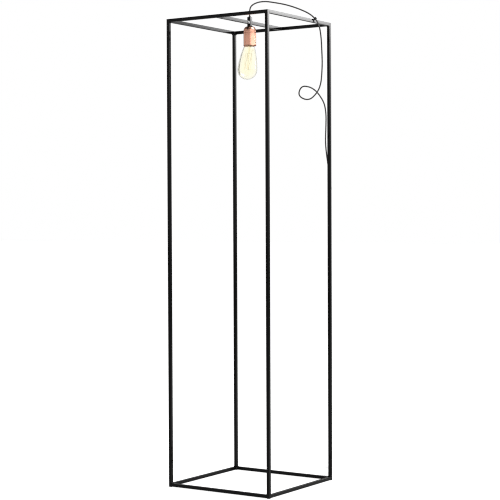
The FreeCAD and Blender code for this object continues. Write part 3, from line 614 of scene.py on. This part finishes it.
def bulb(finishes):
    """Threaded metal cap, its insulator and tip, leaning glass and stem, and what the stem carries."""
    r = CAP_RADIUS
    rows = np.arange(CAP_RIM + 1.2, CAP_TOP - 6.4, THREAD_ROW)
    cap = [(6.5, CAP_TOP - 2.0), (7.4, CAP_TOP - 1.9), (10.4, CAP_TOP - 4.0), (r - 0.7, CAP_TOP - 6.0)]
    cap += [(r - 0.35, z) for z in rows[::-1]]
    cap += [(r - 0.1, CAP_RIM + 0.6), (r - 0.1, CAP_RIM), (r - 0.6, CAP_RIM)]
    cap += [(r - 0.75, z) for z in rows]
    cap += [(r - 1.2, CAP_TOP - 6.3), (7.2, CAP_TOP - 2.6), (6.5, CAP_TOP - 2.6)]
    points, faces = turned(cap, 96)
    points = threaded(points, CAP_RIM + 0.5, CAP_TOP - 5.5, 0.3)
    settle(piece("lamp_cap", points, faces, finishes[SLOTS["bulb_cap"]]), "bulb_cap")
    seat = [(0, CAP_TOP - 4), (6.4, CAP_TOP - 4), (6.4, CAP_TOP - 1.6), (5.6, CAP_TOP - 1), (0, CAP_TOP - 1)]
    settle(piece("insulator", *turned(seat, 64), finishes[SLOTS["bulb_insulator"]]), "bulb_insulator")
    tip = np.concatenate([[(0, CAP_TOP - 1), (4.2, CAP_TOP - 1)],
                          arc((0, CAP_TOP - 1), (4.1, 1.0), 12, 90, 10)])
    tip[-1, 0] = 0
    settle(piece("tip", *turned(tip, 48), finishes[SLOTS["bulb_tip"]]), "bulb_tip")

    outer, inner = glass_side(0), glass_side(GLASS_WALL)
    points, faces = turned(np.concatenate([outer, inner[::-1]]), 128)
    settle(piece("glass", tilted(points), faces, finishes["clear_glass"]), "bulb_glass")

    press, foot = CAP_RIM - 36.0, BULB_BOTTOM + 36.0
    flare = NECK - GLASS_WALL - 0.15
    stem = np.concatenate([
        [(0, NECK_TOP), (flare, NECK_TOP)],
        three_point_arc((flare, NECK_TOP - 0.4), (5.2, NECK_TOP - 5.5), (3.4, CAP_RIM - 8.0), 12),
        [(3.1, press + 8), (2.6, press + 3), (1.3, press), (1.2, foot + 3)],
        arc((0, foot), (2.1, 2.1), 55, -55, 10), [(1.0, foot - 2.3), (0, foot - 2.6)]])
    points, faces = turned(stem, 48)
    settle(piece("stem", tilted(points), faces, finishes["clear_glass"]), "bulb_stem")

    hooks, hairpins = filament(press, foot)
    settle(piece("hooks", tilted(hooks[0]), hooks[1], finishes[SLOTS["bulb_hooks"]]), "bulb_hooks")
    settle(piece("filament", tilted(hairpins[0]), hairpins[1], finishes["bulb_filament"]), "bulb_filament")


def filament(press, foot):
    """Wire hooks and the filament that zigzags between them, each as points and faces.

    A hook leaves the stem and rises, or sinks, by a quarter sine of its way out. Each leg of the
    filament goes evenly from an upper hook to a lower one, while it turns by half a cosine and bows
    outwards by half a sine.
    """
    low, high = foot - 4.0, press + 3.0
    hooks, hairpins = [], []
    for i in range(LOOPS):
        up = TAU / LOOPS * i
        down = up + math.pi / LOOPS
        for turn, root, start, end in ((up, 2.6, press + 2, high), (down, 2.3, foot, low)):
            out = np.array([math.cos(turn), math.sin(turn), 0.0])
            reach = np.linspace(root, LOOP_RADIUS, 12)
            rise = start + (end - start) * np.sin(0.5 * math.pi * (reach - root) / (LOOP_RADIUS - root))
            hooks.append(tube(reach[:, None] * out + rise[:, None] * np.array([0, 0, 1.0]), HOOK, 8))
        for first, last, start, end in ((up, down, high, low), (down, up + TAU / LOOPS, low, high)):
            t = np.linspace(0, 1, 22)
            turn = first + (last - first) * (0.5 - 0.5 * np.cos(math.pi * t)) * 0.9 + (last - first) * 0.05
            radius = LOOP_RADIUS + 0.1 + 0.5 * np.sin(math.pi * t)
            leg = np.stack([radius * np.cos(turn), radius * np.sin(turn), start + (end - start) * t], -1)
            hairpins.append(tube(leg, FILAMENT, 6))
    return joined(hooks), joined(hairpins)


# ------------------------------------------------------------------ cord
# from the hanger over the rail, through the loop and down behind the post to the switch
UPPER = [(0, 0, 1515), (-1, 0, 1529), (3, 1, 1549), (24, 9, 1560), (49, 19, 1562), (76, 30, 1557),
         (112, 42, 1549), (149, 59, 1535), (190, 67, 1515), (201, 99, 1490), (200, 115, 1446),
         (198, 122, 1404), (198, 125, 1365), (198, 122, 1331), (198, 116, 1296), (190, 107, 1267),
         (169, 88, 1240), (142, 64, 1255), (152, 68, 1288), (176, 82, 1285), (192, 95, 1272),
         (202, 107, 1253), (206, 122, 1234), (203, 136, 1214), (198, 148, 1193), (191, 159, 1167),
         (184, 169, 1141), (177, 179, 1113), (173, 190, 1082), (174, 198, 1046), (180, 199, 1004),
         (184, 196, 960), (184, 197, 905), (179, 201, 850), (174, 205, 798)]
# from the switch to the floor
LOWER = [(174, 205, 602), (179, 202, 545), (184, 197, 490), (184, 197, 432), (183, 198, 374),
         (184, 197, 316), (183, 197, 258), (184, 198, 200), (184, 196, 150), (184, 196, 106)]
# across and along the line of the spare cord
SWITCH_ACROSS, SWITCH_ALONG, SWITCH_HEIGHT, SWITCH_REACH = 254.7, 90.0, 700.0, 51.0
HANK_ACROSS, HANK_ALONG, HANK_RUN, HANK_TURNS = 255.8, 155.0, 85.0, 3
HANK_FOLD, HANK_STEP, HANK_WAIST, LAYER = 22.5, 5.2, 9.0, 2.6
FLOOR_LIFT = CORD / 2 + 0.3
HANK_MIDDLE = FLOOR_LIFT + HANK_FOLD + 0.5
PLUG_HEIGHT, PLUG_AWAY = PLUG_TALL / 2, 74.0    # the plug's middle, and how far past the hank it starts


def spot(across, along, height):
    """Point given across and along the line in which the spare cord lies."""
    return (across * math.cos(TUCK) - along * math.sin(TUCK),
            across * math.sin(TUCK) + along * math.cos(TUCK), height)


def hank_points():
    """Centre line of the folded cord.

    A long loop in an upright plane, gone round three times. Its fold radius shrinks by one step a
    turn until halfway and then grows again, while the cord crosses to the second layer along the
    top run. Between the folds the runs are drawn in by waist * cos(pi * u / run) ** 2.
    """
    half = HANK_RUN / 2
    runs, folds = (-0.5, -0.17, 0.17, 0.5), (-54, -18, 18, 54)
    samples = [("run", -1, f) for f in runs] + [("fold", 1, a) for a in folds]
    samples += [("run", 1, f) for f in runs] + [("fold", -1, a) for a in folds]
    count = len(samples)
    points = []
    for i in range(HANK_TURNS * count + len(runs)):
        kind, side, value = samples[i % count]
        turn = (i - 1.5) / count
        fold = HANK_FOLD - HANK_STEP * min(turn, HANK_TURNS - turn)
        layer = LAYER * max(-1.0, min(1.0, (turn - HANK_TURNS / 2) * count / 1.5))
        if kind == "run":
            along = -side * value * HANK_RUN
            up = side * (fold - HANK_WAIST * math.cos(math.pi * value) ** 2)
        else:
            angle = math.radians(value) * side
            along, up = side * (half + fold * math.cos(angle)), fold * math.sin(angle)
        points.append(spot(HANK_ACROSS + layer, HANK_ALONG + along, HANK_MIDDLE + up))
    return points


def cord_route():
    """All points of the cord's way from the hanger to the plug, in millimetres."""
    top = spot(SWITCH_ACROSS, SWITCH_ALONG, SWITCH_HEIGHT + SWITCH_REACH)
    low = spot(SWITCH_ACROSS, SWITCH_ALONG, SWITCH_HEIGHT - SWITCH_REACH)
    lead = [spot(257.0, 77, 64), spot(256.2, 78.3, 40), spot(254.7, 84.5, 19), spot(253.4, 95, 6.8)]
    out, side = HANK_ALONG + HANK_RUN / 2, HANK_ACROSS + LAYER
    tail = [spot(side + 0.6, out + 22, FLOOR_LIFT), spot(side - 0.6, out + 40, 7),
            spot(HANK_ACROSS, out + 57, PLUG_HEIGHT - 1), spot(HANK_ACROSS, out + PLUG_AWAY, PLUG_HEIGHT)]
    return UPPER + [top, low] + LOWER + lead + hank_points() + tail


def cord(material):
    """Textile cord as a tube carried along the smooth NURBS line of its route."""
    route = np.array(cord_route()) * MM
    line = bpy.data.curves.new("cord_line", "CURVE")
    line.dimensions = "3D"
    line.resolution_u = 10
    spline = line.splines.new("NURBS")
    spline.points.add(len(route) - 1)
    spline.points.foreach_set("co", np.column_stack([route, np.ones(len(route))]).ravel())
    spline.order_u = 3
    spline.use_endpoint_u = True
    carrier = bpy.data.objects.new("cord_line", line)
    bpy.context.scene.collection.objects.link(carrier)
    bpy.context.view_layer.update()
    mesh = bpy.data.meshes.new_from_object(carrier)
    path = np.empty(len(mesh.vertices) * 3)
    mesh.vertices.foreach_get("co", path)
    path = path.reshape(-1, 3)
    bpy.data.objects.remove(carrier)
    bpy.data.meshes.remove(mesh)
    path = path[np.concatenate([[True], np.linalg.norm(np.diff(path, axis=0), axis=1) > 1e-6])]

    sides = 14
    points, faces = tube(path / MM, CORD / 2, sides)
    quads = np.array(faces[:-2])
    distance = np.concatenate([[0], np.cumsum(np.linalg.norm(np.diff(path, axis=0), axis=1))])
    row, column = quads[:, 0] // sides, quads[:, 0] % sides
    uv = np.stack([np.stack([distance[row + i], (column + j) / sides], -1)
                   for i, j in ((0, 0), (0, 1), (1, 1), (1, 0))], 1)
    uv = np.concatenate([uv.reshape(-1, 2), np.zeros((2 * sides, 2))])
    textile_cord = piece("cord", points, faces, material, uv=uv)
    settle(textile_cord, "cord_upper", "cord_lower", "cord_hank", "cord_tail")


def relief(thick, thin):
    """Outline of a grooved cone from its thick end at 0, its edges rounded and its axis left out."""
    grooves = 2
    pitch = RELIEF_LENGTH / (grooves + 0.5)
    points = [(0, 0), (thick, 0)]
    for i in range(grooves):
        z = pitch * (i + 0.8)
        radius = thick + (thin - thick) * z / RELIEF_LENGTH
        points += [(radius, z), (radius - 0.6, z + 0.6), (radius - 0.6, z + 1.8), (radius - 0.2, z + 2.4)]
    points += [(thin, RELIEF_LENGTH), (0, RELIEF_LENGTH)]
    soft = eased_corners(points, 0.35)
    return soft[soft[:, 0] > 0]


def on_the_cord(finishes):
    """Clips, switch, plug and tie: housings with rounded edges, and turned cones and pins."""
    widths = {"rail_clip": 0.3, "post_clips": 0.3, "hank_tie": 0.5, "switch_front": 0.55,
              "switch_back": 0.55, "switch_rocker": 0.4, "switch_screws": 0.15, "plug_body": 0.9}
    for node, width in widths.items():
        eased(node, width, finishes[SLOTS[node]])
    rubber = finishes[SLOTS["switch_reliefs"]]
    cone, faces = turned(relief(4.4, 2.9), 48)
    place = (SWITCH_ACROSS, SWITCH_ALONG, SWITCH_HEIGHT)
    up = tucked(cone + (0, 0, SWITCH_LENGTH / 2), *place)
    down = tucked(cone * (1, 1, -1) - (0, 0, SWITCH_LENGTH / 2), *place)
    settle(piece("switch_cones", *joined([(up, faces), (down, faces)]), rubber), "switch_reliefs")

    plug_at = (HANK_ACROSS, HANK_ALONG + HANK_RUN / 2 + PLUG_AWAY + RELIEF_LENGTH, PLUG_HEIGHT)
    cone, faces = turned(relief(4.6, 2.9), 48)
    lying = tucked(cone[:, [0, 2, 1]] * (1, -1, 1), *plug_at)
    settle(piece("plug_cone", lying, faces, rubber), "plug_relief")
    pin = [(0, 0), (PIN_RADIUS, 0), (PIN_RADIUS, PIN_LENGTH - 1.2)]
    pin += list(arc((0, PIN_LENGTH - 1.6), (PIN_RADIUS, 1.6), 14, 90, 8))
    pin[-1] = (0, PIN_LENGTH)
    one, faces = turned(pin, 40)
    pair = [(tucked(one[:, [0, 2, 1]] + (0, PLUG_LENGTH, side * PIN_SPACING / 2), *plug_at), faces)
            for side in (-1, 1)]
    settle(piece("pins", *joined(pair), finishes[SLOTS["plug_pins"]]), "plug_pins")


# ------------------------------------------------------------------ camera, light, stage
# Brightness of the room all round, and of the glow that the floor shows to the camera and through glass.
ROOM_LEVEL, FLOOR_GLOW = 0.62, 0.80
# A bank of lights stands level in the room. An end is the two angles in degrees, from +X to +Y, between
# which it fades. The near part is wide and dim.
FRONT, FRONT_LEFT, FRONT_RIGHT = 1.2, (-62.0, -40.0), (38.0, 56.0)
# The far part is narrow and bright. It stands between two heights in degrees, and below its foot it
# fades at two rates in degrees, of which the gentle one has this share.
FAR, FAR_LEFT, FAR_RIGHT = 30.0, (51.5, 59.0), (57.0, 66.0)
FAR_FOOT, FAR_TOP = 8.8, (9.2, 12.0)
STEEP, GENTLE, GENTLE_SHARE = 0.3, 1.8, 0.75
# How much darker the room is behind the far part.
BACK_SHADE = 0.55


def camera():
    """Camera fitted to the cage's corners in the photograph: place, turn and focal length."""
    place = np.array([2.58185, -3.90444, 0.86026])
    focal = 1443.1 / 500            # in widths of the picture
    yaw, pitch, roll = math.radians(33.501), math.radians(-1.229), math.radians(-0.2331)
    ahead = np.array([-math.sin(yaw) * math.cos(pitch), math.cos(yaw) * math.cos(pitch), math.sin(pitch)])
    right = np.array([math.cos(yaw), math.sin(yaw), 0.0])
    up = np.cross(right, ahead)
    across = math.cos(roll) * right + math.sin(roll) * up
    above = -math.sin(roll) * right + math.cos(roll) * up
    data = bpy.data.cameras.new("camera")
    data.sensor_width = 36.0
    data.lens = focal * data.sensor_width
    data.clip_end = 100.0
    eye = bpy.data.objects.new("camera", data)
    matrix = np.eye(4)
    matrix[:3] = np.stack([across, above, -ahead, place], -1)
    eye.matrix_world = Matrix(matrix.tolist())
    bpy.context.scene.collection.objects.link(eye)
    bpy.context.scene.camera = eye


def softbox(name, place, aim, size, power):
    """Square soft light that faces a point."""
    data = bpy.data.lights.new(name, "AREA")
    data.shape, data.size, data.energy = "SQUARE", size, power
    light = bpy.data.objects.new(name, data)
    light.rotation_euler = (Vector(place) - Vector(aim)).to_track_quat("Z", "Y").to_euler()
    light.location = place
    bpy.context.scene.collection.objects.link(light)


def pale_floor():
    """Floor that reads as white to the camera and through glass, and keeps a faint shadow."""
    f = Finish("floor", (0.90, 0.90, 0.90), 0.7)
    start = f.start
    path = start.node("ShaderNodeLightPath")
    glow = start.node("ShaderNodeEmission", Color=(1, 1, 1, 1), Strength=FLOOR_GLOW)
    lit = start.of(start.node("ShaderNodeAddShader", i0=f.surface, i1=start.of(glow)))
    seen = maths("MAXIMUM", start.of(path, "Is Camera Ray"), start.of(path, "Is Transmission Ray"))
    f.show(seen.either(f.surface, lit))
    reach = 40000.0
    piece("floor", [(-reach, -reach, 0), (reach, -reach, 0), (reach, reach, 0), (-reach, reach, 0)],
                   [(0, 1, 2, 3)], f.material, smooth=False)


def room():
    """The world: white to the camera and through glass, and a studio with a bank of lights to all else.

    With turn and climb as a direction's angles, the far part's brightness below its foot is a sum of
    two exponentials of the climb. Everything above 10 degrees fades to a fifth by 38.
    """
    world = bpy.data.worlds.new("studio")
    bpy.context.scene.world = world
    world.use_nodes = True
    start = Wire(world.node_tree)
    axes = start.node("ShaderNodeSeparateXYZ", Vector=start.of(start.node("ShaderNodeTexCoord"), 0))
    x, y, z = (start.of(axes, i) for i in range(3))
    turn, climb = maths("ARCTAN2", y, x) * (360 / TAU), maths("ARCSINE", z) * (360 / TAU)
    below = maths("MINIMUM", climb - FAR_FOOT, 0.0)
    steep, gentle = (maths("EXPONENT", below / rate) for rate in (STEEP, GENTLE))
    rise = steep * (1 - GENTLE_SHARE) + gentle * GENTLE_SHARE
    far = rise * (1 - climb.ease(*FAR_TOP)) * turn.ease(*FAR_LEFT) * (1 - turn.ease(*FAR_RIGHT))
    near = climb.ease(0.0, 6.0) * turn.ease(*FRONT_LEFT) * (1 - turn.ease(*FRONT_RIGHT))
    walls = (1 - turn.ease(*FRONT_RIGHT) * BACK_SHADE) * ROOM_LEVEL + near * FRONT
    level = far * FAR + walls * (1 - climb.ease(10.0, 38.0) * 0.8)
    studio, white, through = (
        start.of(start.node("ShaderNodeBackground", Color=(1, 1, 1, 1), Strength=bright))
        for bright in (level, 1.0, 1.06))
    path = start.node("ShaderNodeLightPath")
    direct = start.of(path, "Is Camera Ray").either(studio, white)
    shown = start.of(path, "Is Transmission Ray").either(direct, through)
    start.tree.links.new(shown.socket, start.tree.nodes["World Output"].inputs["Surface"])


def main():
    """Set the stage, give every node its finish and build every piece."""
    camera()
    pale_floor()
    room()
    softbox("key", (2.4, 1.2, 4.4), (0, 0, 0.8), 2.4, 130)
    finishes = {
        "cage_paint": painted_steel(),
        "pad_felt": simple("pad_felt", (0.02, 0.02, 0.02), 0.95, 900, 0.0002),
        "polished_copper": polished_copper(),
        "bright_steel": simple("bright_steel", (0.72, 0.72, 0.72), 0.25, 500, 0.00001, Metallic=1.0),
        "contact_brass": simple("contact_brass", (0.76, 0.58, 0.30), 0.30, 500, 0.00001, Metallic=1.0),
        "insert_ceramic": simple("insert_ceramic", (0.80, 0.78, 0.73), 0.35, 300, 0.00002),
        "clear_glass": clear_glass(),
        "bulb_nickel": simple("bulb_nickel", (0.72, 0.71, 0.68), 0.24, 400, 0.00001, Metallic=1.0),
        "bulb_filament": simple("bulb_filament", (0.55, 0.43, 0.22), 0.5),
        "bulb_black_glass": simple("bulb_black_glass", (0.01, 0.01, 0.012), 0.12),
        "bulb_solder": simple("bulb_solder", (0.62, 0.61, 0.58), 0.35, 800, 0.00004, Metallic=1.0),
        "cord_textile": textile(),
        "black_plastic": simple("black_plastic", (0.016, 0.016, 0.017), 0.46, 1500, 0.00003),
        "rocker_plastic": simple("rocker_plastic", (0.014, 0.014, 0.015), 0.20, 700, 0.00001),
        "relief_rubber": simple("relief_rubber", (0.018, 0.018, 0.019), 0.62, 1200, 0.00003),
        "pin_nickel": simple("pin_nickel", (0.78, 0.77, 0.74), 0.18, 500, 0.00001, Metallic=1.0),
    }
    for part in frame["record"]["subparts"]:
        node = frame["nodes"][part["node"]]
        node.data.materials.clear()
        node.data.materials.append(finishes[part["material_slot"]])
    cage(finishes["cage_paint"])
    welds(finishes["cage_paint"])
    hanger(finishes)
    lampholder(finishes)
    bulb(finishes)
    on_the_cord(finishes)
    eased("floor_pads", 0.3, finishes["pad_felt"])
    cord(finishes["cord_textile"])


main()
bpy.context.scene.view_settings.view_transform = "Standard"
bpy.context.scene.cycles.filter_width = 1.1
